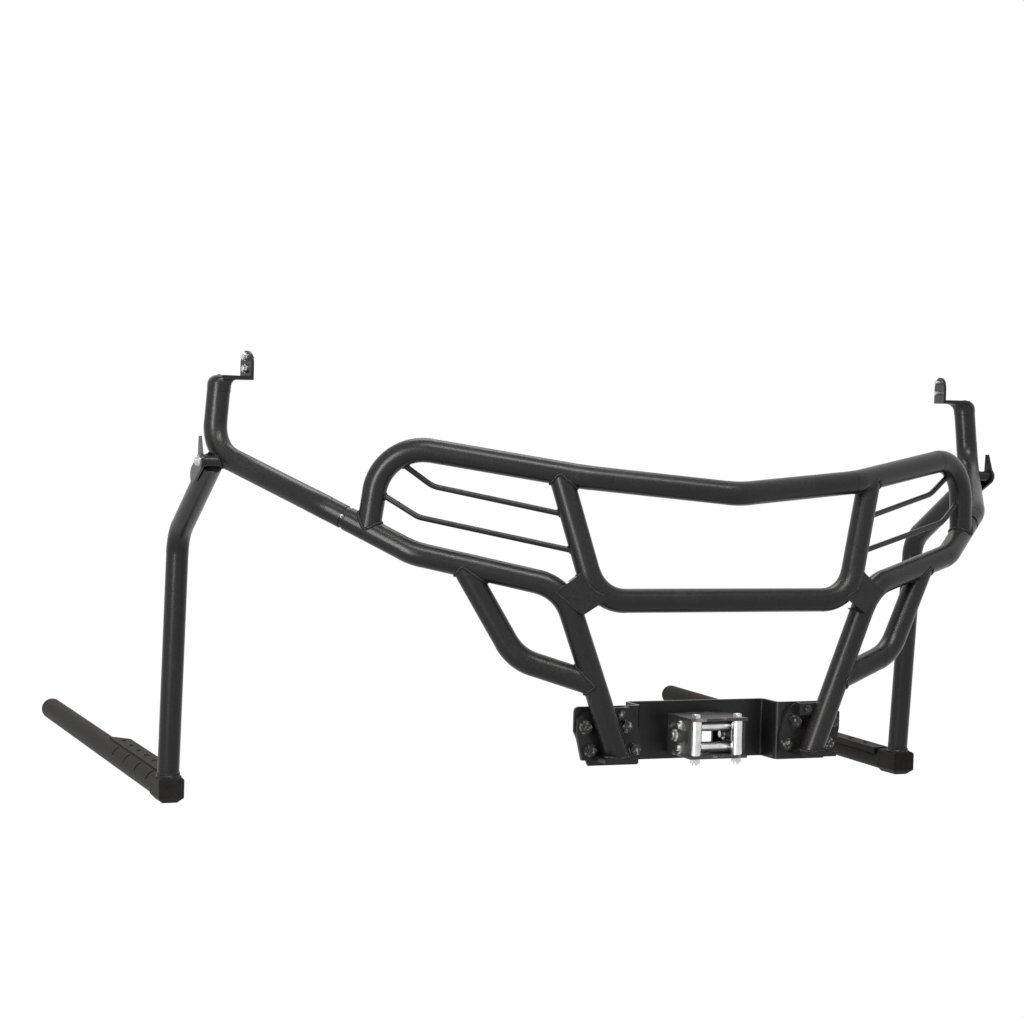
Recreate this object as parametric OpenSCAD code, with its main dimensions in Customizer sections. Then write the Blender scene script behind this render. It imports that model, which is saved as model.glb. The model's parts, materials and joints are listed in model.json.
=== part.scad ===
// Tubular front bumper for a small utility vehicle, with winch plate, roller fairlead,
// side rails, rear posts and side steps. Units are mm. The front faces -Y and +Z is up.
// The origin is the middle of the flat rear face of the winch plate, where it bolts on.

/* [Main tubes] */
// Outside diameter of every frame tube
tube_od = 42.4; // [38:0.1:48.3]
// Wall of every frame tube
tube_wall = 2.6; // [2:0.1:4]
// Air left at a welded or seated joint
weld_gap = 0.1; // [0.05:0.05:0.3]

/* [Upper hoop] */
// How far the nose of the hoop stands ahead of the mounting face
nose_ahead = 92; // [80:1:120]
// Height of the hoop's nose above the mounting centre
nose_z = 430.5; // [400:0.5:460]
// Slope of the hoop's plane, up towards the rear
hoop_slope = 19.2; // [10:0.1:25]
// Half width at the first bend
kink_x = 272; // [250:1:300]
// How far the first bend stands ahead of the mounting face
kink_ahead = 34; // [20:1:60]
// Height of the first bend above the mounting centre
kink_z = 454; // [435:0.5:475]
// Half width at the outer corner
corner_x = 595; // [560:1:640]
// How far the outer corner lies behind the mounting face
corner_back = 113; // [90:1:140]
// Centre-line radius of the outer corners
corner_radius = 86; // [70:1:100]
// Centre-line radius of the shallow bends
kink_radius = 95; // [90:1:130]

/* [Centre hoop] */
// Half width where the hoop meets the upper hoop
grille_top_x = 312; // [300:1:330]
// Half width at the lower corners
grille_low_x = 252; // [235:1:265]
// How far the lower bar stands ahead of the mounting face
grille_low_ahead = 51; // [45:1:70]
// Height of the lower bar
grille_low_z = 240; // [225:1:250]
// Centre-line radius of the lower corners
grille_radius = 70; // [55:1:80]

/* [Side tubes] */
// Half width at the inner bend, above the foot
side_in_x = 309; // [300:1:325]
// Height of the inner bend
side_in_z = 262.5; // [255:0.5:275]
// Half width at the outer bend
side_out_x = 547; // [530:1:560]
// How far the outer bend lies behind the mounting face
side_out_back = 74.5; // [60:0.5:85]
// Height of the outer bend
side_out_z = 314.5; // [305:0.5:325]
// Half width at the rear end
side_end_x = 641; // [630:1:655]
// How far the rear end lies behind the mounting face
side_end_back = 154; // [140:1:165]
// Height of the rear end
side_end_z = 369.5; // [360:0.5:380]
// Half width at the foot
foot_x = 195.5; // [185:0.5:205]
// Where the hoop's leg lands, as a distance from the outer bend
leg_land = 92; // [80:1:100]
// Centre-line radius of the inner bend
side_in_radius = 80; // [65:1:90]
// Centre-line radius of the outer bend
side_out_radius = 100; // [80:1:120]

/* [Lower braces] */
// Half width where the brace leaves the side tube
brace_top_x = 468; // [450:1:480]
// Half width at the brace's bend
brace_bend_x = 378; // [365:1:390]
// How far the brace's bend lies behind the mounting face
brace_bend_back = 4; // [0:1:12]
// Height of the brace's bend
brace_bend_z = 136; // [125:1:150]
// Height where the brace lands on the foot tube
brace_low_z = 93; // [85:1:105]
// Centre-line radius of the brace's bend
brace_radius = 85; // [70:1:100]

/* [Lamp guard rods] */
// Diameter of the guard rods
rod_d = 10; // [8:0.5:12]
// Half width at the upper rod's bend
rod_up_x = 510; // [500:1:520]
// How far the upper rod's bend lies behind the mounting face
rod_up_back = 84; // [75:1:95]
// Height of the upper rod's bend
rod_up_z = 431; // [420:1:440]
// Half width at the lower rod's bend
rod_low_x = 536; // [525:1:545]
// How far the lower rod's bend lies behind the mounting face
rod_low_back = 82; // [75:1:95]
// Height of the lower rod's bend
rod_low_z = 377; // [368:1:386]
// Height where the upper rod meets the centre hoop
rod_up_end_z = 386; // [376:1:396]
// Height where the lower rod meets the centre hoop
rod_low_end_z = 323; // [314:1:334]
// Bend radius of the rods
rod_radius = 45; // [30:1:60]

/* [Winch plate] */
// Sheet thickness
plate_t = 6; // [5:0.5:8]
// Half width of the plate
plate_half = 267; // [260:1:280]
// Top edge above the mounting centre
plate_top = 50; // [46:1:56]
// Bottom edge below the mounting centre
plate_bottom = 55; // [52:1:60]
// Inside half width of the recess
recess_half = 137; // [130:1:142]
// Depth of the recess behind the front of the plate
recess_depth = 54; // [45:1:60]
// Inside bend radius of the sheet
fold_radius = 4; // [3:0.5:6]

/* [Foot brackets] */
// Thickness of the bracket's back plate
foot_t = 8; // [6:0.5:10]
// Diameter of the mounting bolts
mount_bolt_d = 12; // [10:1:12]
// How far a mounting bolt reaches behind the mounting face
mount_reach = 21.9; // [15:0.1:30]
// Height of the upper bolts above the mounting centre
mount_up_z = 15; // [12:1:20]
// Depth of the lower bolts below the mounting centre
mount_low_z = 26; // [22:1:30]
// Top of the shelf below the mounting centre
shelf_below = 36; // [34:1:40]
// Thickness of the shelf
shelf_t = 8; // [6:0.5:10]

/* [Fairlead] */
// Width of the fairlead body
lead_w = 114; // [108:1:124]
// Height of the fairlead body
lead_h = 72; // [68:1:80]
// How far the body stands ahead of the mounting face
lead_ahead = 46; // [44:1:52]
// Middle of the body below the mounting centre
lead_below = 8; // [4:1:10]
// Plate thickness of the body
lead_t = 5; // [4:0.5:6]
// How far the body's sides stand back behind its front
lead_side_back = 10; // [0:1:12]
// Diameter of the upright rollers
up_roller_d = 21; // [18:0.5:22]
// Diameter of the level rollers
level_roller_d = 20; // [18:0.5:20]
// Diameter of the roller pins
pin_d = 10; // [8:1:10]
// How far the axis of an upright roller lies inside the body's side
up_roller_in = 15.5; // [15:0.5:19]
// Distance from the middle to a level roller
level_roller_z = 19.5; // [18:0.5:20]
// Running clearance between roller and pin
roller_play = 0.08; // [0.05:0.01:0.1]

/* [Side rails] */
// Half width at the rear bend
rail_back_x = 815; // [800:1:830]
// How far the rear bend lies behind the mounting face
rail_back_y = 413; // [390:1:440]
// Height of the rear bend
rail_back_z = 481.5; // [470:0.5:495]
// Height where the rail's domed end begins
rail_top_z = 597; // [585:1:610]
// Length of rail before its first bend
rail_lead_in = 50; // [45:1:60]
// Width of the bolted coupling's neck
neck_w = 8; // [6:0.5:12]
// Half width at the fixing tab
tab_x = 746; // [738:1:752]
// Width of the fixing tab
tab_w = 48; // [40:1:56]
// Height of the fixing tab above its fold
tab_h = 54; // [50:1:64]
// Turn of the fixing tab, its rear edge outwards
tab_turn = 9; // [0:1:12]

/* [Posts] */
// Half width of the post and of the step
post_x = 822; // [815:1:830]
// How far the post's upper end lies behind the mounting face
post_top_y = 393; // [388:1:400]
// Height of the post's upper end
post_top_z = 458.5; // [452:0.5:464]
// How far the post's bolt lies behind the mounting face
post_bolt_y = 381; // [378:1:392]
// Height of the post's bolt
post_bolt_z = 462; // [460:1:470]
// Height of the ear's tip above the post's bolt
ear_tip = 45; // [30:1:50]
// How far the post's bend lies behind the mounting face
post_bend_y = 624; // [600:1:640]
// Height of the post's bend
post_bend_z = 315; // [300:1:330]
// How far the post's foot lies behind the mounting face
post_foot_y = 660; // [650:1:675]
// Radius of the bends of posts and rails
post_radius = 70; // [60:1:80]

/* [Side steps] */
// Outside diameter of the step tube
step_od = 48.3; // [44:0.1:50]
// Wall of the step tube
step_wall = 3; // [2.5:0.1:4]
// Top of the step's front box below the mounting centre
step_top_below = 153; // [150:1:160]
// Size of the front box across and upright
step_box = 50; // [48.5:0.5:56]
// How far the front box starts behind the mounting face
step_front_y = 632; // [625:1:640]
// Length of the front box
step_box_l = 70; // [66:1:80]
// Length of the step tube
step_l = 1068; // [900:1:1150]
// Slope of the step tube, up towards the rear
step_slope = 1; // [0:0.1:2]
// Length of the tread plate
tread_l = 425; // [410:1:450]
// Number of grip slots in a step
slots = 4; // [3:1:4]
// Distance between grip slots
slot_pitch = 98; // [90:1:100]
// Most grip studs on a tread
studs = 6; // [4:1:6]
// Distance from the front of the tread to its first stud
stud_first = 67; // [60:1:75]
// Distance between grip studs
stud_pitch = 65; // [60:1:68]

/* [Hidden] */
$fn = 48;
black = [0.09, 0.09, 0.1];
silver = [0.75, 0.76, 0.78];
tube_r = tube_od / 2;
swell = 1.0125;
nose = [0, -nose_ahead, nose_z];
kink = [kink_x, -kink_ahead, kink_z];
corner = [corner_x, corner_back, kink_z + (corner_back + kink_ahead) * tan(hoop_slope)];
foot_y = -(plate_t + foot_t + tube_r + weld_gap);
shelf_z = -shelf_below;
side_in = [side_in_x, foot_y, side_in_z];
side_out = [side_out_x, side_out_back, side_out_z];
side_end = [side_end_x, side_end_back, side_end_z];
side_foot = [foot_x, foot_y, shelf_z];
side_dir = unit(side_end - side_out);
leg_foot = side_out + side_dir * leg_land;
grille_top = kink + (corner - kink) * (grille_top_x - kink_x) / (corner_x - kink_x);
grille_low = [grille_low_x, -grille_low_ahead, grille_low_z];
brace_top = side_in + (side_out - side_in) * (brace_top_x - side_in_x) / (side_out_x - side_in_x);
brace_bend = [brace_bend_x, brace_bend_back, brace_bend_z];
brace_low = on_foot(brace_low_z);
rail_start = side_end + side_dir * neck_w;
rail_bend = rail_start + side_dir * rail_lead_in;
rail_back = [rail_back_x, rail_back_y, rail_back_z];
rail_top = [rail_back_x - 10, rail_back_y + 5, rail_top_z];
tab_t = 5;
strap_t = 7;
ear_t = 5;
ear_w = 32;
plug_t = 5;
post_bolt_d = 10;
post_top = [post_x, post_top_y, post_top_z];
post_bend = [post_x, post_bend_y, post_bend_z];
post_dir = unit(post_bend - post_top);
ear_drop = 36;
ear_low = [post_top_y + ear_drop, post_top_z - ear_drop * (post_top_z - post_bend_z) / (post_bend_y - post_top_y)];
tab_holes = [21, 43];
step_z = -(step_top_below + step_box / 2);
step_y = step_front_y + step_box_l;
box_top = -step_top_below;
collar_t = 5;
post_foot = [post_x, post_foot_y, box_top + collar_t + weld_gap];
recess_y = recess_depth - plate_t;
lead_z = -lead_below;
up_y = -lead_ahead + 12;
level_y = up_y + (up_roller_d + level_roller_d) / 2 + 1;
lead_bolt_y = level_y + level_roller_d / 2 + 15;
lead_bolt_d = 12;
ear_x = post_x + tube_r + weld_gap;
mount_in_up = recess_half + 34;
mount_in_low = recess_half + 16;
mount_out_up = plate_half - 17;
mount_out_low = plate_half - 27;
mount_hole_d = mount_bolt_d + 1;
mount_thread_d = mount_bolt_d - 1.14;
thread_relief = 1;
roller_x = lead_w / 2 - up_roller_in;
mount_holes = [[mount_in_up, mount_up_z], [mount_in_low, -mount_low_z], [mount_out_up, mount_up_z],
               [mount_out_low, -mount_low_z]];
clip_z = 39;
clip_h = 22;
clip_x = mount_in_up + 16;
clip_y = -(plate_t + foot_t + 16);
stud_count = min(studs, 1 + floor((tread_l - stud_first - 20) / stud_pitch));

function unit(v) = v / norm(v);
function on_foot(z) = side_in + (side_foot - side_in) * (side_in[2] - z) / (side_in[2] - side_foot[2]);
function on_grille(z) = grille_top + (grille_low - grille_top) * (grille_top[2] - z) / (grille_top[2] - grille_low[2]);
function flip(p) = [-p[0], p[1], p[2]];
function tangent(a, b, radius) = radius * tan(acos(a * b) / 2);

// Places its children with their axes along x, y and z, at p.
module axes(x, y, z, p) {
  multmatrix([[x[0], y[0], z[0], p[0]],
              [x[1], y[1], z[1], p[1]],
              [x[2], y[2], z[2], p[2]],
              [0, 0, 0, 1]]) children();
}

// Places its children at p with +Z towards q.
module along(p, q) {
  z = unit(q - p);
  x = unit(cross(abs(z[2]) > 0.9 ? [0, 1, 0] : [0, 0, 1], z));
  axes(x, cross(z, x), z, p) children();
}

module left() {
  mirror([1, 0, 0]) children();
}

// A straight bar from p to q, hollow when a wall is given.
module bar(p, q, r, wall = 0) {
  along(p, q) difference() {
    cylinder(h = norm(q - p), r = r);
    if (wall > 0) translate([0, 0, -1]) cylinder(h = norm(q - p) + 2, r = r - wall);
  }
}

// The arc of a bent tube around the corner v, from direction a to direction b. A bend swells a little.
module arc(v, a, b, radius, r, wall) {
  n = unit(b - a * (a * b));
  s = v - a * tangent(a, b, radius);
  axes(-n, a, cross(-n, a), s + n * radius)
    rotate_extrude(angle = acos(a * b), $fn = 96)
      translate([radius, 0]) difference() {
        circle(r = r * swell);
        if (wall > 0) circle(r = (r - wall) * swell);
      }
}

// A tube along the points, bent to the radius given for each inner point.
module bent(points, radii, r, wall = 0) {
  last = len(points) - 1;
  for (i = [0 : last - 1]) {
    d = unit(points[i + 1] - points[i]);
    from = i == 0 ? 0 : tangent(unit(points[i] - points[i - 1]), d, radii[i - 1]) - 0.5;
    to = i == last - 1 ? 0 : tangent(d, unit(points[i + 2] - points[i + 1]), radii[i]) - 0.5;
    bar(points[i] + d * from, points[i + 1] - d * to, r, wall);
  }
  for (i = [1 : last - 1])
    arc(points[i], unit(points[i] - points[i - 1]), unit(points[i + 1] - points[i]), radii[i - 1], r, wall);
}

// The room that a frame tube needs where another one is fitted to it.
module saddle(p, q) {
  bar(p, q, tube_r + weld_gap);
}

// Hexagon head with a round flange, its seat at z = 0 and the head towards +Z.
module hex_head(d, flat, tall) {
  cylinder(h = 2.5, d = flat * 1.32);
  translate([0, 0, 2.4]) cylinder(h = tall - 2.4, d = flat / cos(30), $fn = 6);
  translate([0, 0, tall - 0.1]) cylinder(h = 0.9, d = flat * 0.8);
}

module upper_hoop() color(black) difference() {
  bent([flip(leg_foot), flip(corner), flip(kink), nose, kink, corner, leg_foot],
       [corner_radius, kink_radius, kink_radius, kink_radius, corner_radius], tube_r, tube_wall);
  saddle(side_out, side_end);
  left() saddle(side_out, side_end);
}

module centre_hoop() color(black) difference() {
  bent([flip(grille_top), flip(grille_low), grille_low, grille_top], [grille_radius, grille_radius], tube_r, tube_wall);
  saddle(kink, corner);
  left() saddle(kink, corner);
}

module side_tube() color(black) difference() {
  bent([side_end, side_out, side_in, side_foot - (side_in - side_foot) * 0.1],
       [side_out_radius, side_in_radius], tube_r, tube_wall);
  translate([foot_x - 60, foot_y - 60, shelf_z + weld_gap - 90]) cube([120, 120, 90]);
}

module brace() color(black) difference() {
  bent([brace_top, brace_bend, brace_low], [brace_radius], tube_r, tube_wall);
  saddle(side_in, side_out);
  saddle(side_in, side_foot);
}

module guard_rod(bend, inner, outer) color(black) difference() {
  bent([inner, bend, outer], [rod_radius], rod_d / 2);
  saddle(grille_top, grille_low);
  bent([kink, corner, leg_foot], [corner_radius], tube_r + weld_gap);
}

rod_up = [rod_up_x, rod_up_back, rod_up_z];
rod_low = [rod_low_x, rod_low_back, rod_low_z];
rod_up_out = corner + [-6, -4, -16];
rod_low_out = leg_foot + (corner - leg_foot) * 0.46;

// Folded gusset between the centre hoop's corner and the side tube's inner bend.
gus_x = unit(side_in - grille_low);
gus_z = unit([0, -1, 0] + gus_x * gus_x[1]);
gus_mid = (side_in + grille_low) / 2;
gus_t = 4;
gus_front = tube_r - 3.5;
gus_depth = 30;

module gusset_outline(grow) {
  polygon([[44, -14 - grow], [9 + grow / 2, 40 + grow], [-46, 8 + grow], [-16 - grow / 2, -33 - grow]]);
}

module gusset() color(black) difference() {
  axes(gus_x, cross(gus_z, gus_x), gus_z, gus_mid) difference() {
    translate([0, 0, gus_front - gus_depth]) linear_extrude(gus_depth) gusset_outline(0);
    translate([0, 0, gus_front - gus_depth - 1]) linear_extrude(gus_depth + 1 - gus_t)
      polygon([[70, -34], [7, 34], [-74, 12], [-12, -27]]);
  }
  bent([grille_top, grille_low, flip(grille_low)], [grille_radius], tube_r + weld_gap);
  bent([side_out, side_in, side_foot], [side_in_radius], tube_r + weld_gap);
}

module quarter(cx, cy, sx, sy) {
  intersection() {
    translate([cx, cy]) difference() {
      circle(r = fold_radius + plate_t);
      circle(r = fold_radius);
    }
    translate([cx + (sx < 0 ? -30 : 0), cy + (sy < 0 ? -30 : 0)]) square(30);
  }
}

// Plan of one half of the folded winch plate.
module plate_plan() {
  out = fold_radius + plate_t;
  x0 = recess_half;
  y1 = recess_y;
  translate([x0 + out, -plate_t]) square([plate_half - x0 - out, plate_t]);
  quarter(x0 + out, out - plate_t, -1, -1);
  translate([x0, out - plate_t]) square([plate_t, y1 - fold_radius - out + plate_t]);
  quarter(x0 - fold_radius, y1 - fold_radius, 1, 1);
  translate([0, y1]) square([x0 - fold_radius, plate_t]);
}

module winch_plate() color(black) difference() {
  intersection() {
    translate([0, 0, -plate_bottom]) linear_extrude(plate_top + plate_bottom) {
      plate_plan();
      mirror([1, 0]) plate_plan();
    }
    translate([0, 90, 0]) rotate([90, 0, 0]) linear_extrude(120) {
      face_outline();
      mirror([1, 0]) face_outline();
    }
  }
  for (s = [-1, 1], h = mount_holes)
    translate([s * h[0], 1, h[1]]) rotate([90, 0, 0]) cylinder(h = plate_t + 2, d = mount_hole_d);
  translate([21 - lead_w / 2, recess_y - 1, lead_z + 17 - lead_h / 2]) cube([lead_w - 42, plate_t + 2, lead_h - 34]);
}

module face_outline() {
  r = 9;
  polygon([[-1, -plate_bottom], [plate_half - 29, -plate_bottom], [plate_half, 6],
           [plate_half, plate_top - r], [plate_half - r, plate_top - r], [plate_half - r, plate_top],
           [-1, plate_top]]);
  translate([plate_half - r, plate_top - r]) circle(r = r);
}

module bracket_outline(inner, outer) {
  polygon([[inner + 3, shelf_z - shelf_t], [outer - 13, shelf_z - shelf_t], [outer - 2, 0], [outer - 2, plate_top - 20],
           [outer - 11, plate_top - 12], [outer - 41, plate_top - 3], [inner + 33, plate_top - 3],
           [inner + 15, plate_top - 20], [inner + 3, -8]]);
}

module foot_bracket() color(black) {
  difference() {
    union() {
      translate([0, -plate_t - weld_gap, 0]) rotate([90, 0, 0]) linear_extrude(foot_t - weld_gap)
        bracket_outline(recess_half, plate_half);
      translate([foot_x - 28, foot_y - 27, shelf_z - shelf_t]) cube([64, -foot_y + 27 - plate_t - 0.5, shelf_t]);
    }
    for (h = mount_holes)
      translate([h[0], 1, h[1]]) rotate([90, 0, 0]) cylinder(h = plate_t + foot_t + 4, d = mount_hole_d);
  }
}

module top_clip() color(black) difference() {
  union() {
    translate([clip_x - 15, clip_y, clip_z - clip_h / 2]) cube([40, 5, clip_h]);
    translate([clip_x - 15, clip_y, clip_z - clip_h / 2]) cube([5, 16 - weld_gap, clip_h]);
  }
  saddle(on_foot(120), side_foot);
  translate([clip_x + 1, clip_y + 10, clip_z]) rotate([90, 0, 0]) cylinder(h = 20, d = 8.2);
}

module mount_bolts() color(silver) for (s = [-1, 1], h = mount_holes)
  translate([s * h[0], -plate_t - foot_t - weld_gap, h[1]]) rotate([90, 0, 0]) {
    hex_head(mount_bolt_d, 18, 9);
    shank = plate_t + foot_t + weld_gap + 0.3;
    translate([0, 0, -shank]) cylinder(h = shank + 1, d = mount_bolt_d);
    translate([0, 0, -shank - thread_relief]) cylinder(h = thread_relief + 1, d = mount_thread_d - 0.6);
    translate([0, 0, -plate_t - foot_t - weld_gap - mount_reach])
      cylinder(h = mount_reach - 0.3 - thread_relief, d = mount_thread_d);
  }

module clip_bolts() color(silver) for (s = [-1, 1])
  translate([s * (clip_x + 1), clip_y - weld_gap, clip_z]) rotate([90, 0, 0]) {
    hex_head(8, 11, 5.5);
    translate([0, 0, -12]) cylinder(h = 13, d = 8);
  }

module fairlead_body() color(silver) difference() {
  translate([-lead_w / 2, -lead_ahead, lead_z - lead_h / 2]) cube([lead_w, lead_ahead + recess_y - weld_gap, lead_h]);
  translate([lead_t - lead_w / 2, -lead_ahead - 1, lead_z - lead_h / 2 + lead_t])
    cube([lead_w - 2 * lead_t, lead_ahead + recess_y + 2, lead_h - 2 * lead_t]);
  translate([-lead_w, -lead_ahead - 1, lead_z - lead_h / 2 + lead_t])
    cube([2 * lead_w, lead_side_back + 1, lead_h - 2 * lead_t]);
  for (s = [-1, 1]) {
    translate([s * roller_x, up_y, lead_z - lead_h]) cylinder(h = 2 * lead_h, d = pin_d + 0.1);
    translate([-lead_w, level_y, lead_z + s * level_roller_z]) rotate([0, 90, 0])
      cylinder(h = 2 * lead_w, d = pin_d + 0.1);
  }
  translate([-lead_w, lead_bolt_y, lead_z]) rotate([0, 90, 0]) cylinder(h = 2 * lead_w, d = lead_bolt_d + 0.2);
}

module fairlead_tab() color(black) difference() {
  translate([lead_w / 2 - 2 * lead_t - weld_gap, lead_bolt_y - 12, lead_z - 18])
    cube([lead_t, recess_y - lead_bolt_y + 12 - weld_gap, 36]);
  translate([0, lead_bolt_y, lead_z]) rotate([0, 90, 0]) cylinder(h = lead_w, d = lead_bolt_d + 0.2);
}

module fairlead_bolts() color(silver) for (s = [0, 1]) mirror([s, 0, 0])
  translate([lead_w / 2 + weld_gap, lead_bolt_y, lead_z]) rotate([0, 90, 0]) {
    hex_head(lead_bolt_d, 18, 9);
    translate([0, 0, -26]) cylinder(h = 27, d = lead_bolt_d);
    translate([0, 0, -2 * lead_t - 2 * weld_gap - weld_gap - 9]) cylinder(h = 9, d = 18 / cos(30), $fn = 6);
  }

module roller(d, l) color(silver) difference() {
  union() {
    cylinder(h = l, d = d - 1);
    translate([0, 0, 1]) cylinder(h = l - 2, d = d);
  }
  translate([0, 0, -1]) cylinder(h = l + 2, d = pin_d + 2 * roller_play);
}

module up_roller() translate([roller_x, up_y, lead_z - lead_h / 2 + lead_t + 0.5])
  roller(up_roller_d, lead_h - 2 * lead_t - 1);

module level_roller(s) translate([lead_t + 0.5 - lead_w / 2, level_y, lead_z + s * level_roller_z])
  rotate([0, 90, 0]) roller(level_roller_d, lead_w - 2 * lead_t - 1);

// A headed pin of the given grip, its head seat at z = 0 and the nut at the far end.
module pin(grip) {
  translate([0, 0, weld_gap]) cylinder(h = 6, d = 15 / cos(30), $fn = 6);
  translate([0, 0, 6]) cylinder(h = 1, d = 12);
  translate([0, 0, -grip - 12]) cylinder(h = grip + 12.5, d = pin_d);
  translate([0, 0, -grip - weld_gap - 8]) cylinder(h = 8, d = 17 / cos(30), $fn = 6);
}

module roller_pins() color(silver) for (s = [-1, 1]) {
  translate([s * roller_x, up_y, lead_z + lead_h / 2]) pin(lead_h);
  translate([lead_w / 2, level_y, lead_z + s * level_roller_z]) rotate([0, 90, 0]) pin(lead_w);
}

couple_r = tube_r - tube_wall - weld_gap;
couple_in = 42;
couple_n = unit([0.32, -0.95, 0.04] - side_dir * (side_dir * [0.32, -0.95, 0.04]));
couple_mid = side_end + side_dir * neck_w / 2;

module coupling() color(black) difference() {
  union() {
    bar(side_end - side_dir * couple_in, rail_start + side_dir * couple_in, couple_r);
    bar(side_end + side_dir * weld_gap, rail_start - side_dir * weld_gap, tube_r - 1.6);
  }
  bar(couple_mid - couple_n * 30, couple_mid + couple_n * 30, 3.1);
  bar(couple_mid + couple_n * (tube_r - 5), couple_mid + couple_n * 30, neck_w * 0.45);
}

module coupling_bolts() color(silver) for (s = [0, 1]) mirror([s, 0, 0]) {
  bar(couple_mid + couple_n * (tube_r - 4.9), couple_mid + couple_n * (tube_r + 1.5), neck_w * 0.45 - 0.1);
  bar(couple_mid - couple_n * (tube_r - 3), couple_mid + couple_n * (tube_r - 4), 3);
}

module rail_path(r, wall) {
  bent([rail_start, rail_bend, rail_back, rail_top], [post_radius * 1.6, post_radius], r, wall);
}

module rail_dome(r) {
  along(rail_top, rail_top * 2 - rail_back) intersection() {
    sphere(r = r, $fn = 64);
    translate([-r, -r, -0.01]) cube(2 * r);
  }
}

module side_rail() color(black) {
  rail_path(tube_r, tube_wall);
  rail_dome(tube_r);
}

// The fixing tab is a strap, welded to the rail's domed end and folded upwards.
module rail_tab() color(black) difference() {
  translate([tab_x, rail_top[1], rail_top_z + tube_r - strap_t]) rotate([0, 0, -tab_turn]) difference() {
    rotate([90, 0, 0]) translate([0, 0, -tab_w * 0.7]) linear_extrude(tab_w) {
      translate([8, 0]) square([rail_top[0] - tab_x - 8, strap_t]);
      difference() {
        translate([0, 0]) square([8.5, 8]);
        translate([8.5, 8.5]) circle(r = 8.5);
      }
      intersection() {
        translate([8.5, 8.5]) difference() {
          circle(r = 8.5);
          circle(r = 8.5 - tab_t);
        }
        square([8.5, 8.5]);
      }
      translate([0, 8]) square([tab_t, tab_h - 8]);
    }
    translate([-1, tab_w * 0.2, tab_h - tab_w / 2]) rotate([0, 90, 0]) difference() {
      translate([-tab_w, -tab_w, 0]) cube([tab_w, 2 * tab_w, 12]);
      translate([0, 0, -1]) cylinder(h = 14, d = tab_w);
    }
    for (z = tab_holes) translate([-1, tab_w * 0.2, z]) rotate([0, 90, 0]) cylinder(h = 9, d = 8.2);
  }
  rail_path(tube_r + weld_gap, 0);
  rail_dome(tube_r + weld_gap);
}

module tab_bolts() color(silver) for (s = [0, 1], z = tab_holes) mirror([s, 0, 0])
  translate([tab_x, rail_top[1], rail_top_z + tube_r - strap_t]) rotate([0, 0, -tab_turn])
    translate([tab_t + weld_gap, tab_w * 0.2, z]) rotate([0, 90, 0]) {
      hex_head(8, 12, 6.5);
      translate([0, 0, -tab_t - 10]) cylinder(h = tab_t + 11, d = 8);
    }

// Boss on the rail that takes the post's bolt.
module rail_boss() color(black) difference() {
  translate([rail_back_x - 20, post_bolt_y, post_bolt_z]) rotate([0, 90, 0])
    cylinder(h = ear_x - weld_gap - rail_back_x + 20, d = 20);
  rail_path(tube_r + weld_gap, 0);
  translate([rail_back_x - 40, post_bolt_y, post_bolt_z]) rotate([0, 90, 0]) cylinder(h = 80, d = post_bolt_d + 0.2);
}

module post() color(black) difference() {
  union() {
    bent([post_top, post_bend, post_foot + (post_foot - post_bend) * 0.1], [post_radius], tube_r, tube_wall);
    bar(post_top + post_dir * 0.3, post_top + post_dir * (plug_t + 0.3), tube_r - 0.8);
  }
  translate([post_x - 60, post_foot_y - 60, post_foot[2] - 90]) cube([120, 120, 90]);
  rail_path(tube_r + weld_gap, 0);
  translate([rail_back_x - 40, post_bolt_y, post_bolt_z]) rotate([0, 90, 0]) cylinder(h = 80, d = 20.2);
}

// Plate on the outer side of the post, bolted to the rail's boss.
module post_ear() color(black) difference() {
  union() {
    along([ear_x, post_bolt_y, post_bolt_z], [ear_x, ear_low[0], ear_low[1]]) rotate([0, -90, 0]) {
      h = norm([ear_low[0] - post_bolt_y, ear_low[1] - post_bolt_z]);
      translate([0, -ear_w / 2, 0]) cube([h, ear_w, ear_t]);
      cylinder(h = ear_t, d = ear_w);
      translate([h, 0, 0]) cylinder(h = ear_t, d = ear_w);
    }
    translate([ear_x + 0.4, post_bolt_y, post_bolt_z]) rotate([90, 0, 90]) linear_extrude(ear_t - 0.8)
      polygon([[2 - ear_w / 2, 2], [0, -8], [ear_w / 2 - 1, 3], [12, ear_tip], [4, ear_tip]]);
  }
  translate([post_x, post_bolt_y, post_bolt_z]) rotate([0, 90, 0]) cylinder(h = 60, d = post_bolt_d + 0.2);
}

module post_bolts() color(silver) for (s = [0, 1]) mirror([s, 0, 0])
  translate([ear_x + ear_t + weld_gap, post_bolt_y, post_bolt_z]) rotate([0, 90, 0]) {
    hex_head(post_bolt_d, 15, 7.5);
    translate([0, 0, -ear_t - 20]) cylinder(h = ear_t + 21, d = post_bolt_d);
  }

module post_collar() color(black) {
  translate([post_x, post_foot_y, box_top + weld_gap]) cylinder(h = collar_t - weld_gap, r1 = step_box / 2 - 0.5, r2 = step_box / 2 - 3);
}

// The step tube's own axes: +Y runs to the rear along the tube.
module step_axes() {
  translate([post_x, step_y, step_z]) rotate([step_slope, 0, 0]) children();
}

module step_tube() color(black) difference() {
  step_axes() translate([0, -4, 0]) rotate([-90, 0, 0]) difference() {
    cylinder(h = step_l + 4, d = step_od);
    translate([0, 0, -1]) cylinder(h = step_l + 6, d = step_od - 2 * step_wall);
  }
  translate([post_x - 50, step_y + weld_gap - 60, step_z - 50]) cube([100, 60, 100]);
  for (i = [0 : slots - 1]) step_axes() translate([0, 42 + i * slot_pitch, 0]) rotate([0, 48, 0])
    for (a = [0, 1]) {
      translate([-8, -3.5, step_od / 2 - 8]) cube([16, 7, 12]);
      translate([a * 16 - 8, 0, step_od / 2 - 8]) cylinder(h = 12, d = 7);
    }
}

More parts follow.
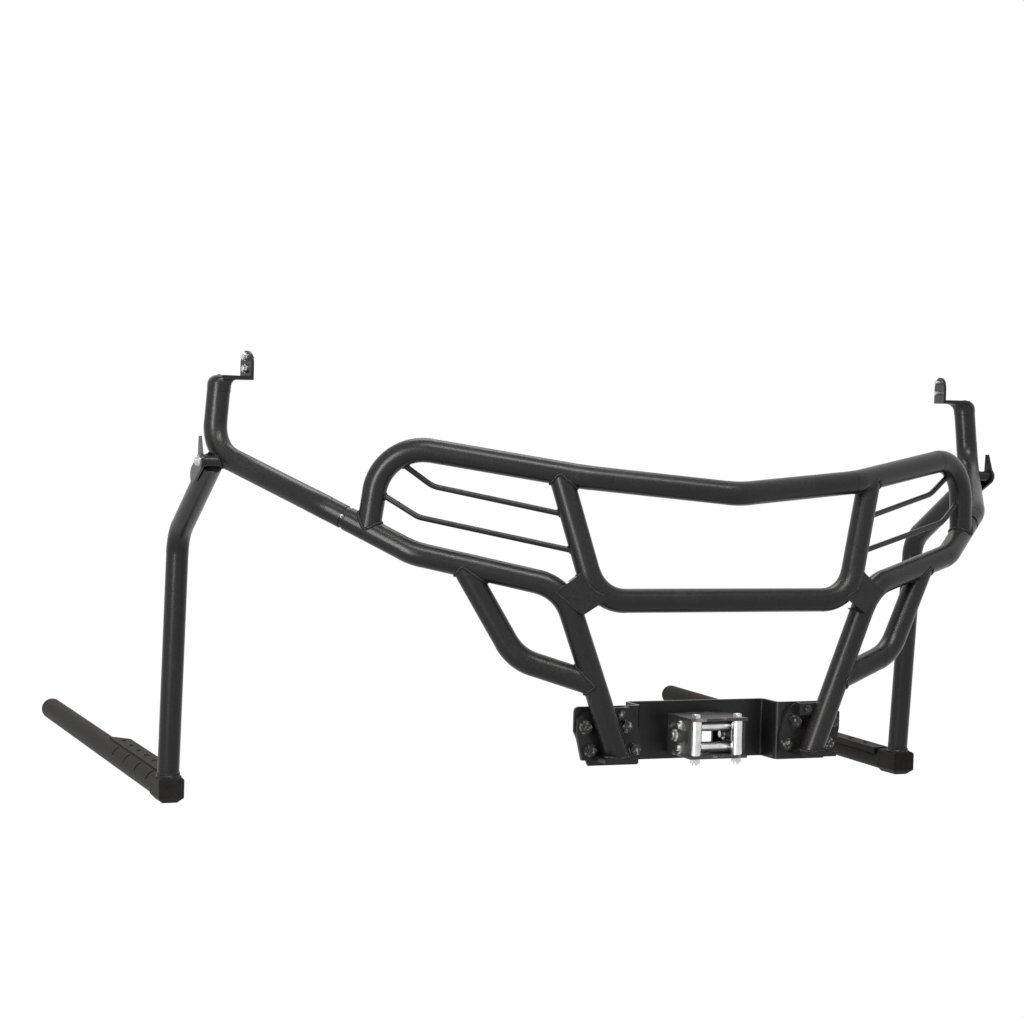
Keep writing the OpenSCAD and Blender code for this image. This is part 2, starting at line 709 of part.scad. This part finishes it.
module box_profile(c_low, c_up) {
  h = step_box / 2;
  polygon([[-h + c_low, -h], [h - c_low, -h], [h, -h + c_low], [h, h - c_up], [h - c_up, h], [-h + c_up, h],
           [-h, h - c_up], [-h, -h + c_low]]);
}

module step_front_box() color(black) difference() {
  intersection() {
    translate([post_x, step_y, step_z]) rotate([90, 0, 0]) linear_extrude(step_box_l) box_profile(11, 4);
    translate([post_x - step_box / 2 - 1, step_y, step_z]) rotate([90, 0, 90]) linear_extrude(step_box + 2)
      polygon([[0, -step_box / 2], [12 - step_box_l, -step_box / 2], [-step_box_l, 10 - step_box / 2],
               [-step_box_l, step_box / 2 - 3], [3 - step_box_l, step_box / 2], [0, step_box / 2]]);
  }
  translate([post_x, step_y + 1, step_z]) rotate([90, 0, 0]) cylinder(h = step_box_l - 12, d = step_box - 10);
}

module tread() color(black) step_axes() {
  top = step_od / 2 + weld_gap;
  difference() {
    union() {
      translate([0, 0, top]) linear_extrude(3)
        polygon([[4, 1], [4, tread_l + 22], [-6, tread_l + 22], [-34, tread_l - 12], [-34, 1]]);
      translate([-34, 1, top - 10]) cube([3, tread_l - 14, 12]);
      for (i = [0 : stud_count - 1]) translate([-15, 1 + stud_first + i * stud_pitch, top + 2.5]) cylinder(h = 2.5, d1 = 12, d2 = 8);
    }
    for (i = [0 : stud_count - 1]) translate([-15, 1 + stud_first + i * stud_pitch, top - 1]) cylinder(h = 8, d = 4);
  }
}

module step_cap() color(black) step_axes() translate([0, step_l + weld_gap, 0]) rotate([-90, 0, 0]) {
  difference() {
    sphere(d = step_od, $fn = 64);
    translate([0, 0, -step_od / 2]) cube([step_od + 2, step_od + 2, step_od], center = true);
  }
  translate([0, 0, -14]) cylinder(h = 15, d = step_od - 2 * step_wall - 2 * weld_gap);
}

upper_hoop();
centre_hoop();
left() side_tube();  // side_tube_left
side_tube();  // side_tube_right
left() brace();  // brace_left
brace();  // brace_right
left() guard_rod(rod_up, on_grille(rod_up_end_z), rod_up_out);  // guard_rod_upper_left
guard_rod(rod_up, on_grille(rod_up_end_z), rod_up_out);  // guard_rod_upper_right
left() guard_rod(rod_low, on_grille(rod_low_end_z), rod_low_out);  // guard_rod_lower_left
guard_rod(rod_low, on_grille(rod_low_end_z), rod_low_out);  // guard_rod_lower_right
left() gusset();  // gusset_left
gusset();  // gusset_right
winch_plate();
left() foot_bracket();  // foot_bracket_left
foot_bracket();  // foot_bracket_right
left() top_clip();  // top_clip_left
top_clip();  // top_clip_right
mount_bolts();
clip_bolts();
fairlead_body();
left() fairlead_tab();  // fairlead_tab_left
fairlead_tab();  // fairlead_tab_right
fairlead_bolts();
left() up_roller();  // roller_left
up_roller();  // roller_right
level_roller(1);  // roller_top
level_roller(-1);  // roller_bottom
roller_pins();
left() coupling();  // coupling_left
coupling();  // coupling_right
coupling_bolts();
left() side_rail();  // side_rail_left
side_rail();  // side_rail_right
left() rail_tab();  // rail_tab_left
rail_tab();  // rail_tab_right
tab_bolts();
left() rail_boss();  // rail_boss_left
rail_boss();  // rail_boss_right
left() post();  // post_left
post();  // post_right
left() post_ear();  // post_ear_left
post_ear();  // post_ear_right
post_bolts();
left() post_collar();  // post_collar_left
post_collar();  // post_collar_right
left() step_tube();  // step_tube_left
step_tube();  // step_tube_right
left() step_front_box();  // step_box_left
step_front_box();  // step_box_right
left() tread();  // tread_left
tread();  // tread_right
left() step_cap();  // step_cap_left
step_cap();  // step_cap_right
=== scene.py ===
import json
import math

import bmesh
import bpy
import numpy as np
from mathutils import Matrix, Vector
from mathutils.bvhtree import BVHTree


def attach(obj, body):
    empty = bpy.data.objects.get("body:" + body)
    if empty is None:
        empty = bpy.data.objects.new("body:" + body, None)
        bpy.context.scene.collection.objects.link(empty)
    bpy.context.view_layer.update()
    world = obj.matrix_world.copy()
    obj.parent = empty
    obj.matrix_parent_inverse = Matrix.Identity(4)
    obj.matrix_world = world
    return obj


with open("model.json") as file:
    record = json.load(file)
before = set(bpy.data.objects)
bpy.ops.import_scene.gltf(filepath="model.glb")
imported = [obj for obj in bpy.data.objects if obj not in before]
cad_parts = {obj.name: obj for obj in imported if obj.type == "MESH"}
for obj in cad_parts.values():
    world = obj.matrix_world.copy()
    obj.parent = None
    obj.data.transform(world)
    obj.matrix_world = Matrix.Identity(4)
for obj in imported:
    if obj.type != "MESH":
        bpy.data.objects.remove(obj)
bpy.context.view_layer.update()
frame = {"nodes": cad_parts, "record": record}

# Studio: the bumper is held as it sits on the vehicle, seen from low at its front left.
# A tall soft lamp stands at the left, a broad one hangs in front above, and one behind.
yaw, pitch, roll = math.radians(22.8), math.radians(2.01), math.radians(1.53)
ahead = Vector((math.sin(yaw) * math.cos(pitch), math.cos(yaw) * math.cos(pitch), -math.sin(pitch)))
level = Vector((math.cos(yaw), -math.sin(yaw), 0))
upward = level.cross(ahead)
across = level * math.cos(roll) + upward * math.sin(roll)
over = upward * math.cos(roll) - level * math.sin(roll)
camera = bpy.data.objects.new("camera", bpy.data.cameras.new("camera"))
camera.data.lens = 80.57
camera.data.sensor_width = 36
camera.data.clip_end = 60
turned_to = Matrix((across, over, -ahead)).transposed().to_4x4()
camera.matrix_world = Matrix.Translation((-1.92993, -3.65368, 0.53522)) @ turned_to
bpy.context.scene.collection.objects.link(camera)
bpy.context.scene.camera = camera
bpy.context.scene.view_settings.view_transform = "Standard"

for name, place, aim, wide, tall, power in (
    ("lamp_left", (-3.5, -2.3, 0.9), (-0.2, 0.2, 0.2), 0.6, 2.4, 165),
    ("lamp_above", (-0.4, -2.0, 3.4), (0, 0.1, 0.3), 2.4, 0.6, 115),
    ("lamp_rear", (0.4, 2.4, 4.2), (0, 0.7, 0.2), 2.4, 1.6, 70),
):
    lamp = bpy.data.objects.new(name, bpy.data.lights.new(name, "AREA"))
    lamp.data.shape, lamp.data.size, lamp.data.size_y = "RECTANGLE", wide, tall
    lamp.data.energy = power
    lamp.location = place
    lamp.rotation_euler = (Vector(aim) - Vector(place)).to_track_quat("-Z", "Y").to_euler()
    bpy.context.scene.collection.objects.link(lamp)


# Floor: one pale sheet far below the held bumper, where the tyres would stand.
# The camera and the reflections see it and the air above it as plain white.
class Value:
    """A node's output that takes part in arithmetic; each operation adds its Math node."""

    def __init__(self, finish, socket):
        self.finish, self.socket = finish, socket

    def math(self, operation, *others, clamp=False):
        return self.finish.node("Math", dict(operation=operation, use_clamp=clamp), *others).value(0)

    def __add__(self, other):
        return self.math("ADD", self, other)

    def __sub__(self, other):
        return self.math("SUBTRACT", self, other)

    def __mul__(self, other):
        return self.math("MULTIPLY", self, other)

    def __truediv__(self, other):
        return self.math("DIVIDE", self, other)

    __radd__, __rmul__ = __add__, __mul__

    def held(self):
        return self.math("ADD", self, 0.0, clamp=True)

    def step(self, low, high):
        """0 below low and 1 above high, with a straight ramp between them."""
        return ((self - low) / (high - low)).held()


class Made:
    """A node that was just added, with its outputs by name or number."""

    def __init__(self, finish, node):
        self.finish, self.made = finish, node

    def value(self, name):
        return Value(self.finish, self.made.outputs[name])


class Finish:
    """A material under construction, around one Principled shader."""

    def __init__(self, name):
        self.material = bpy.data.materials.new(name)
        self.material.use_nodes = True
        self.tree = self.material.node_tree
        self.shader = self.tree.nodes["Principled BSDF"]
        self.place = self.node("TexCoord", {}).value("Object")

    def node(self, kind, settings, *inputs, **named):
        made = self.tree.nodes.new("ShaderNode" + kind)
        for key, value in settings.items():
            setattr(made, key, value)
        by_name = ((name.replace("_", " "), value) for name, value in named.items())
        for socket, value in [*enumerate(inputs), *by_name]:
            self.feed(made.inputs[socket], value)
        return Made(self, made)

    def feed(self, socket, value):
        if isinstance(value, Value):
            self.tree.links.new(value.socket, socket)
        else:
            socket.default_value = value

    def noise(self, scale, detail=4.0, roughness=0.55, stretch=None):
        at = self.place
        if stretch:
            at = self.node("Mapping", {}, Vector=self.place, Scale=stretch).value(0)
        grain = self.node("TexNoise", {}, Vector=at, Scale=scale, Detail=detail, Roughness=roughness)
        return grain.value("Fac")

    def blend(self, factor, first, second):
        made = self.node("Mix", dict(data_type="RGBA"))
        for index, value in ((0, factor), (6, first), (7, second)):
            self.feed(made.made.inputs[index], (*value, 1) if isinstance(value, tuple) else value)
        return made.value(2)

    def upness(self):
        """How far the surface faces up, from -1 to 1."""
        normal = self.node("NewGeometry", {}).value("Normal")
        return self.node("SeparateXYZ", {}, normal).value("Z")

    def bump(self, height, distance, strength=1.0):
        return self.node("Bump", {}, Height=height, Distance=distance, Strength=strength).value("Normal")

    def set(self, **sockets):
        for name, value in sockets.items():
            value = (*value, 1) if isinstance(value, tuple) else value
            self.feed(self.shader.inputs[name.replace("_", " ")], value)
        return self.material


pale = Finish("pale_floor")
pale.set(Base_Color=(0.9, 0.9, 0.9), Roughness=0.9)
rays = pale.node("LightPath", {})
seen = (rays.value("Is Camera Ray") + rays.value("Is Glossy Ray") + rays.value("Is Transmission Ray")).held()
white = pale.node("Emission", {}, Color=(1, 1, 1, 1), Strength=1.0)
either = pale.node("MixShader", {}, seen)
pale.tree.links.new(pale.shader.outputs[0], either.made.inputs[1])
pale.tree.links.new(white.made.outputs[0], either.made.inputs[2])
pale.tree.links.new(either.made.outputs[0], pale.tree.nodes["Material Output"].inputs["Surface"])
floor_half, floor_z = 30.0, -0.42
corners = ((-1, -1), (1, -1), (1, 1), (-1, 1))
sheet = bmesh.new()
sheet.faces.new([sheet.verts.new((x * floor_half, y * floor_half, floor_z)) for x, y in corners])
floor = bpy.data.objects.new("floor", bpy.data.meshes.new("floor"))
sheet.to_mesh(floor.data)
floor.data.materials.append(pale.material)
bpy.context.scene.collection.objects.link(floor)

world = bpy.data.worlds.new("studio")
bpy.context.scene.world = world
world.use_nodes = True
air = world.node_tree
dim = air.nodes["Background"]
dim.inputs["Color"].default_value, dim.inputs["Strength"].default_value = (0.93, 0.96, 1.0, 1), 0.25
bright_air = air.nodes.new("ShaderNodeBackground")
bright_air.inputs["Color"].default_value = (1, 1, 1, 1)
path = air.nodes.new("ShaderNodeLightPath")
most = path.outputs["Is Camera Ray"]
for ray in ("Is Glossy Ray", "Is Transmission Ray"):
    larger = air.nodes.new("ShaderNodeMath")
    larger.operation = "MAXIMUM"
    air.links.new(most, larger.inputs[0])
    air.links.new(path.outputs[ray], larger.inputs[1])
    most = larger.outputs[0]
choice = air.nodes.new("ShaderNodeMixShader")
for socket, source in zip(choice.inputs, (most, dim.outputs[0], bright_air.outputs[0])):
    air.links.new(source, socket)
air.links.new(choice.outputs[0], air.nodes["World Output"].inputs["Surface"])


# Tubes, rods and plates: mild steel, sprayed with black powder and baked. The coat is
# matt with a fine orange peel. Whatever faces up is painted a lighter warm grey: partly thin settled dust,
# partly a painted highlight from the light above.
def wear(slot, finish):
    """Gives a finish to every frame part that the record puts in this slot."""
    for part in frame["record"]["subparts"]:
        if part["material_slot"] == slot:
            skin = frame["nodes"][part["node"]].data.materials
            skin.clear()
            skin.append(finish.material)


coat = Finish("matt_black_powder_coat")
peel = coat.noise(900.0, 2.0, 0.5)
cloud = coat.noise(7.0, 5.0, 0.6)
grit = coat.noise(230.0, 3.0, 0.6)
# Painted highlight and dust: faces turned up get a lighter warm grey, in speckled patches.
up_dust_and_sheen_weight = (coat.upness() * 0.55 + 0.3).held()
dust_and_sheen = (up_dust_and_sheen_weight * (cloud.step(0.4, 0.72) * 0.6 + 0.3) * grit.step(0.32, 0.75)).held()
coat.set(
    Base_Color=coat.blend(dust_and_sheen * 0.4, (0.006, 0.0056, 0.0058), (0.1, 0.092, 0.083)),
    Roughness=cloud * 0.06 + dust_and_sheen * 0.2 + 0.25,
    Specular_IOR_Level=0.24,
    Normal=coat.bump(peel * 0.7 + grit * 0.3, 0.00035, 0.5),
)
wear("black_coat", coat)

# Weld beads: wherever one coped tube, rod or plate ends on another, a bead of stacked
# ripples runs round the joint. They were laid before coating, so they are black too.
ripple_pitch, bead_radius, rod_bead = 0.0024, 0.0034, 0.0021
joint_room = 0.0007
crease_angle = 0.55
shortest_seam, seam_spacing = 0.008, 0.02
bead_lean, bead_flatness = math.radians(24), 0.62


def merged(node):
    """A frame part's mesh with its double points joined."""
    mesh = bmesh.new()
    mesh.from_mesh(frame["nodes"][node].data)
    bmesh.ops.remove_doubles(mesh, verts=mesh.verts, dist=2e-6)
    return mesh


def length(line):
    return sum((b - a).length for a, b in zip(line, line[1:]))


def middle(line):
    return sum(line, Vector()) / len(line)


def seams(branch, main):
    """The sharp edges of one part that lie on the other part's skin, as lists of points."""
    mesh, host = merged(branch), merged(main)
    skin = BVHTree.FromBMesh(host)
    near = {v for v in mesh.verts if skin.find_nearest(v.co, joint_room)[0] is not None}
    links = {}
    for edge in mesh.edges:
        if edge.is_manifold and edge.calc_face_angle() > crease_angle and all(v in near for v in edge.verts):
            a, b = edge.verts
            links.setdefault(a, []).append(b)
            links.setdefault(b, []).append(a)
    lines, left = [], set(links)
    while left:
        start = min(left, key=lambda v: (len(links[v]) != 1, v.index))
        line, at = [start], start
        left.discard(start)
        while True:
            onward = [v for v in links[at] if v in left]
            if not onward:
                break
            at = onward[0]
            line.append(at)
            left.discard(at)
        if len(line) > 2:
            closed = line[0] in links[line[-1]]
            points = [v.co.copy() for v in line] + ([line[0].co.copy()] if closed else [])
            lines.append(points)
    mesh.free()
    host.free()
    lines.sort(key=length, reverse=True)
    kept = []
    for line in lines:
        apart = all((middle(line) - middle(other)).length > seam_spacing for other in kept)
        if length(line) > shortest_seam and apart:
            kept.append(line)
    return kept


bead_lines = []
for hand in ("left", "right"):
    tube, brace = "side_tube_" + hand, "brace_" + hand
    for branch, main, radius in (
        ("upper_hoop", tube, bead_radius),
        (brace, tube, bead_radius),
        (tube, "foot_bracket_" + hand, bead_radius),
        ("guard_rod_upper_" + hand, "centre_hoop", rod_bead),
        ("guard_rod_upper_" + hand, "upper_hoop", rod_bead),
        ("guard_rod_lower_" + hand, "centre_hoop", rod_bead),
        ("guard_rod_lower_" + hand, "upper_hoop", rod_bead),
        ("gusset_" + hand, "centre_hoop", rod_bead),
        ("gusset_" + hand, tube, rod_bead),
        ("post_" + hand, "side_rail_" + hand, bead_radius),
        ("rail_boss_" + hand, "side_rail_" + hand, rod_bead),
        ("post_" + hand, "post_collar_" + hand, rod_bead),
        ("post_collar_" + hand, "step_box_" + hand, rod_bead),
        ("step_tube_" + hand, "step_box_" + hand, rod_bead),
        ("rail_tab_" + hand, "side_rail_" + hand, rod_bead),
        ("fairlead_tab_" + hand, "winch_plate", rod_bead),
    ):
        bead_lines += [(line, radius) for line in seams(branch, main)]
bead_lines += [(line, bead_radius) for line in seams("centre_hoop", "upper_hoop")]

tree = bpy.data.node_groups.new("ripple_bead", "GeometryNodeTree")
for name, kind in (
    ("Seam", "NodeSocketGeometry"),
    ("Pitch", "NodeSocketFloat"),
    ("Bead radius", "NodeSocketFloat"),
    ("Finish", "NodeSocketMaterial"),
):
    tree.interface.new_socket(name, in_out="INPUT", socket_type=kind)
tree.interface.new_socket("Bead", in_out="OUTPUT", socket_type="NodeSocketGeometry")


def plant(kind, **settings):
    """Adds a node to the bead's tree."""
    made = tree.nodes.new(kind)
    for key, value in settings.items():
        setattr(made, key, value)
    return made


given, result = plant("NodeGroupInput"), plant("NodeGroupOutput")
curve = plant("GeometryNodeMeshToCurve")
even = plant("GeometryNodeResampleCurve")
even.mode = "LENGTH"
along = plant("GeometryNodeInputTangent")
aim = plant("FunctionNodeAlignRotationToVector", axis="Z")
lean = plant("FunctionNodeRotateRotation", rotation_space="LOCAL")
lean.inputs["Rotate By"].default_value = (bead_lean, 0, 0)
ball = plant("GeometryNodeMeshUVSphere")
for name, value in (("Segments", 9), ("Rings", 5), ("Radius", 1.0)):
    ball.inputs[name].default_value = value
size = plant("ShaderNodeCombineXYZ")
thick = plant("ShaderNodeMath", operation="MULTIPLY")
thick.inputs[1].default_value = bead_flatness
place = plant("GeometryNodeInstanceOnPoints")
real = plant("GeometryNodeRealizeInstances")
smooth = plant("GeometryNodeSetShadeSmooth")
paint = plant("GeometryNodeSetMaterial")
for source, target in (
    (given.outputs["Seam"], curve.inputs["Mesh"]),
    (curve.outputs[0], even.inputs["Curve"]),
    (given.outputs["Pitch"], even.inputs["Length"]),
    (even.outputs[0], place.inputs["Points"]),
    (along.outputs[0], aim.inputs["Vector"]),
    (aim.outputs[0], lean.inputs["Rotation"]),
    (lean.outputs[0], place.inputs["Rotation"]),
    (given.outputs["Bead radius"], size.inputs[0]),
    (given.outputs["Bead radius"], size.inputs[1]),
    (given.outputs["Bead radius"], thick.inputs[0]),
    (thick.outputs[0], size.inputs[2]),
    (size.outputs[0], place.inputs["Scale"]),
    (ball.outputs["Mesh"], place.inputs["Instance"]),
    (place.outputs[0], real.inputs[0]),
    (real.outputs[0], smooth.inputs[0]),
    (smooth.outputs[0], paint.inputs["Geometry"]),
    (given.outputs["Finish"], paint.inputs["Material"]),
    (paint.outputs[0], result.inputs[0]),
):
    tree.links.new(source, target)
sockets = {item.name: item.identifier for item in tree.interface.items_tree if item.in_out == "INPUT"}

for title, radius in (("tube_weld_beads", bead_radius), ("rod_and_plate_weld_beads", rod_bead)):
    path_mesh = bmesh.new()
    for line, line_radius in bead_lines:
        if line_radius == radius:
            points = [path_mesh.verts.new(p) for p in line]
            for a, b in zip(points, points[1:]):
                path_mesh.edges.new((a, b))
    guide = bpy.data.objects.new(title + "_guide", bpy.data.meshes.new(title))
    path_mesh.to_mesh(guide.data)
    path_mesh.free()
    bpy.context.scene.collection.objects.link(guide)
    grow = guide.modifiers.new("beads", "NODES")
    grow.node_group = tree
    grow[sockets["Pitch"]] = ripple_pitch * radius / bead_radius
    grow[sockets["Bead radius"]] = radius
    grow[sockets["Finish"]] = coat.material
    shaped = bpy.data.meshes.new_from_object(guide.evaluated_get(bpy.context.evaluated_depsgraph_get()))
    beads = bpy.data.objects.new(title, shaped)
    bpy.context.scene.collection.objects.link(beads)
    bpy.data.objects.remove(guide)
    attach(beads, "frame")

# Rail ends: the tube's end is pressed flat over its dome and runs out into the strap
# of the fixing tab. It is drawn through a row of sections that turn and flatten, from
# the outer and the inner side of the bend, each a row of (x, z), and the middle's y.
outer = (
    (0.8264, 0.588), (0.8266, 0.599), (0.825, 0.607), (0.8205, 0.6135),
    (0.813, 0.6178), (0.803, 0.6192), (0.786, 0.6192), (0.766, 0.6188),
)
inner = (
    (0.7836, 0.588), (0.7834, 0.5945), (0.7828, 0.6), (0.7815, 0.6045),
    (0.779, 0.608), (0.7752, 0.6103), (0.77, 0.6112), (0.7625, 0.6113),
)
middle_y = (0.4176, 0.418, 0.4186, 0.42, 0.422, 0.424, 0.426, 0.427)
tube_half, strap_half = 0.0214, 0.0243
round_power, squarer_by = 2, 2.2
sections, around = 22, 36


def eased(stations, t):
    """A smooth place between the stations of a row, for t from 0 to 1."""
    x = t * (len(stations) - 1)
    i = min(int(x), len(stations) - 2)
    a, b, c, d = (np.array(stations[max(0, min(len(stations) - 1, i + k))]) for k in (-1, 0, 1, 2))
    u = x - i
    second, third = 2 * a - 5 * b + 4 * c - d, 3 * b - a - 3 * c + d
    return 0.5 * (2 * b + (c - a) * u + second * u * u + third * u ** 3)


for hand, side in (("left", -1), ("right", 1)):
    shell, rows = bmesh.new(), []
    for k in range(sections):
        t = k / (sections - 1)
        high, low, mid_y = eased(outer, t), eased(inner, t), eased(middle_y, t)
        centre, half = (high + low) / 2, (high - low) / 2
        square = round_power + squarer_by * t ** 2
        width = tube_half + (strap_half - tube_half) * t
        row = []
        for m in range(around):
            a = 2 * math.pi * m / around
            across_part = math.copysign(abs(math.cos(a)) ** (2 / square), math.cos(a))
            upper_part = math.copysign(abs(math.sin(a)) ** (2 / square), math.sin(a))
            point = centre + half * upper_part
            row.append(shell.verts.new((side * point[0], mid_y + width * across_part, point[1])))
        rows.append(row)
    for low_row, high_row in zip(rows, rows[1:]):
        for m in range(around):
            n = (m + 1) % around
            shell.faces.new((low_row[m], low_row[n], high_row[n], high_row[m]))
    shell.faces.new(rows[0])
    shell.faces.new(rows[-1])
    bmesh.ops.recalc_face_normals(shell, faces=shell.faces)
    for face in shell.faces:
        face.smooth = len(face.verts) == 4
    title = "pressed_rail_end_" + hand
    end = bpy.data.objects.new(title, bpy.data.meshes.new(title))
    shell.to_mesh(end.data)
    shell.free()
    end.data.materials.append(coat.material)
    bpy.context.scene.collection.objects.link(end)
    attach(end, "frame")

# Steps and their front boxes: the same steel in a coarser black texture, greyed by
# dried mud and boot scuffs along the top.
step_coat = Finish("textured_black_coat")
pimple = step_coat.node("TexVoronoi", {}, Vector=step_coat.place, Scale=420.0).value("Distance")
mud = step_coat.noise(14.0, 6.0, 0.65)
speck = step_coat.noise(260.0, 4.0, 0.7)
trodden = (step_coat.upness() * 0.45 + 0.42).held()
film = (trodden * (mud.step(0.38, 0.72) * 0.7 + 0.2) * (speck.step(0.3, 0.7) * 0.6 + 0.4)).held()
step_coat.set(
    Base_Color=step_coat.blend(film * 0.3, (0.006, 0.0058, 0.0056), (0.13, 0.112, 0.092)),
    Roughness=film * 0.3 + 0.5,
    Specular_IOR_Level=0.07,
    Normal=step_coat.bump(pimple, 0.0004, 0.5),
)
wear("textured_black", step_coat)

# Fairlead body: thick folded plate, once black, rubbed to bare steel and rust by the
# rope along its edges.
plate = Finish("worn_black_plate")
patch = plate.noise(34.0, 5.0, 0.65)
fleck = plate.noise(300.0, 3.0, 0.6)
scraped = (patch.step(0.56, 0.64) * fleck.step(0.3, 0.6)).held()
rust = (plate.noise(55.0, 5.0, 0.7).step(0.52, 0.66) * 0.8).held()
worn = plate.blend(rust, (0.28, 0.27, 0.26), (0.2, 0.085, 0.035))
plate.set(
    Base_Color=plate.blend(scraped * 0.8, (0.02, 0.019, 0.018), worn),
    Metallic=scraped * 0.5,
    Roughness=patch * 0.25 + 0.35,
    Specular_IOR_Level=0.4,
    Normal=plate.bump(fleck, 0.00025, 0.5),
)
wear("fairlead_black", plate)

# Rollers: sleeves turned from steel tube, zinc plated, with the fine rings that the
# tool left and a few scuffs of the rope.
turned = Finish("turned_steel")
ring = turned.noise(40.0, 3.0, 0.6)
scuff = turned.noise(120.0, 5.0, 0.7, stretch=(1.0, 1.0, 0.25))
turned.set(
    Base_Color=turned.blend(ring.step(0.3, 0.75), (0.55, 0.55, 0.56), (0.8, 0.79, 0.77)),
    Metallic=1.0,
    Roughness=scuff * 0.18 + 0.2,
    Normal=turned.bump(scuff, 0.0001, 0.3),
)
wear("roller_steel", turned)

# Bolts, nuts and pins: bright zinc plate, a little duller in random patches.
bright = Finish("bright_zinc")
dull = bright.noise(120.0, 4.0, 0.6)
bright.set(
    Base_Color=bright.blend(dull.step(0.35, 0.75), (0.5, 0.5, 0.51), (0.76, 0.76, 0.75)),
    Metallic=1.0,
    Roughness=dull * 0.2 + 0.22,
)
wear("zinc_fasteners", bright)

# Bolts of the foot brackets, clips and rail couplings: blackened steel, rubbed back to
# bare metal on the corners by the spanner.
dark = Finish("blackened_bolt")
rub = dark.noise(160.0, 4.0, 0.65)
dark.set(
    Base_Color=dark.blend(rub.step(0.54, 0.62), (0.045, 0.044, 0.043), (0.3, 0.29, 0.28)),
    Metallic=0.9,
    Roughness=rub * 0.2 + 0.4,
)
for node in ("mount_bolts", "clip_bolts", "coupling_bolts"):
    frame["nodes"][node].data.materials[0] = dark.material
